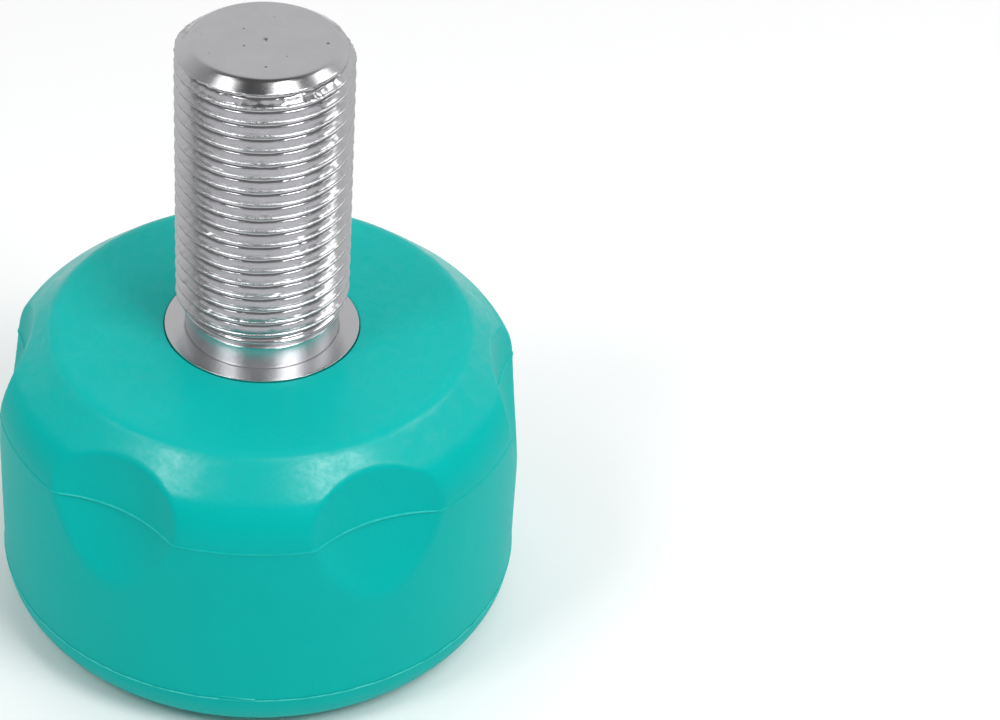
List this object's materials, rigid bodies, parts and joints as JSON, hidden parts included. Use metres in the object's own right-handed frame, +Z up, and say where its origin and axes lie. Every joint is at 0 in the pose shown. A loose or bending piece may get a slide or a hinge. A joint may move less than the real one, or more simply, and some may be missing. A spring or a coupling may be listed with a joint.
{
  "type": "roller skate toe stop",
  "caption": "Round rubber toe stop for a roller skate, with scooped grips round its shoulder and a threaded steel stem bonded into it.",
  "frame": {"origin": "centre of the flat sole", "axes": "+Z up the axis of the stem, -Y towards the middle of a flat between two grips"},
  "size_m": [0.049, 0.049, 0.06],
  "materials": {
    "teal_rubber": "satin moulded rubber",
    "zinc_plated_steel": "bright zinc plating",
    "zinc_plated_flange": "bright zinc plating"
  },
  "bodies": {
    "root": {"rubber_stop": "teal_rubber", "threaded_stem": "zinc_plated_steel", "anchor_flange": "zinc_plated_flange"}
  },
  "joints": []
}
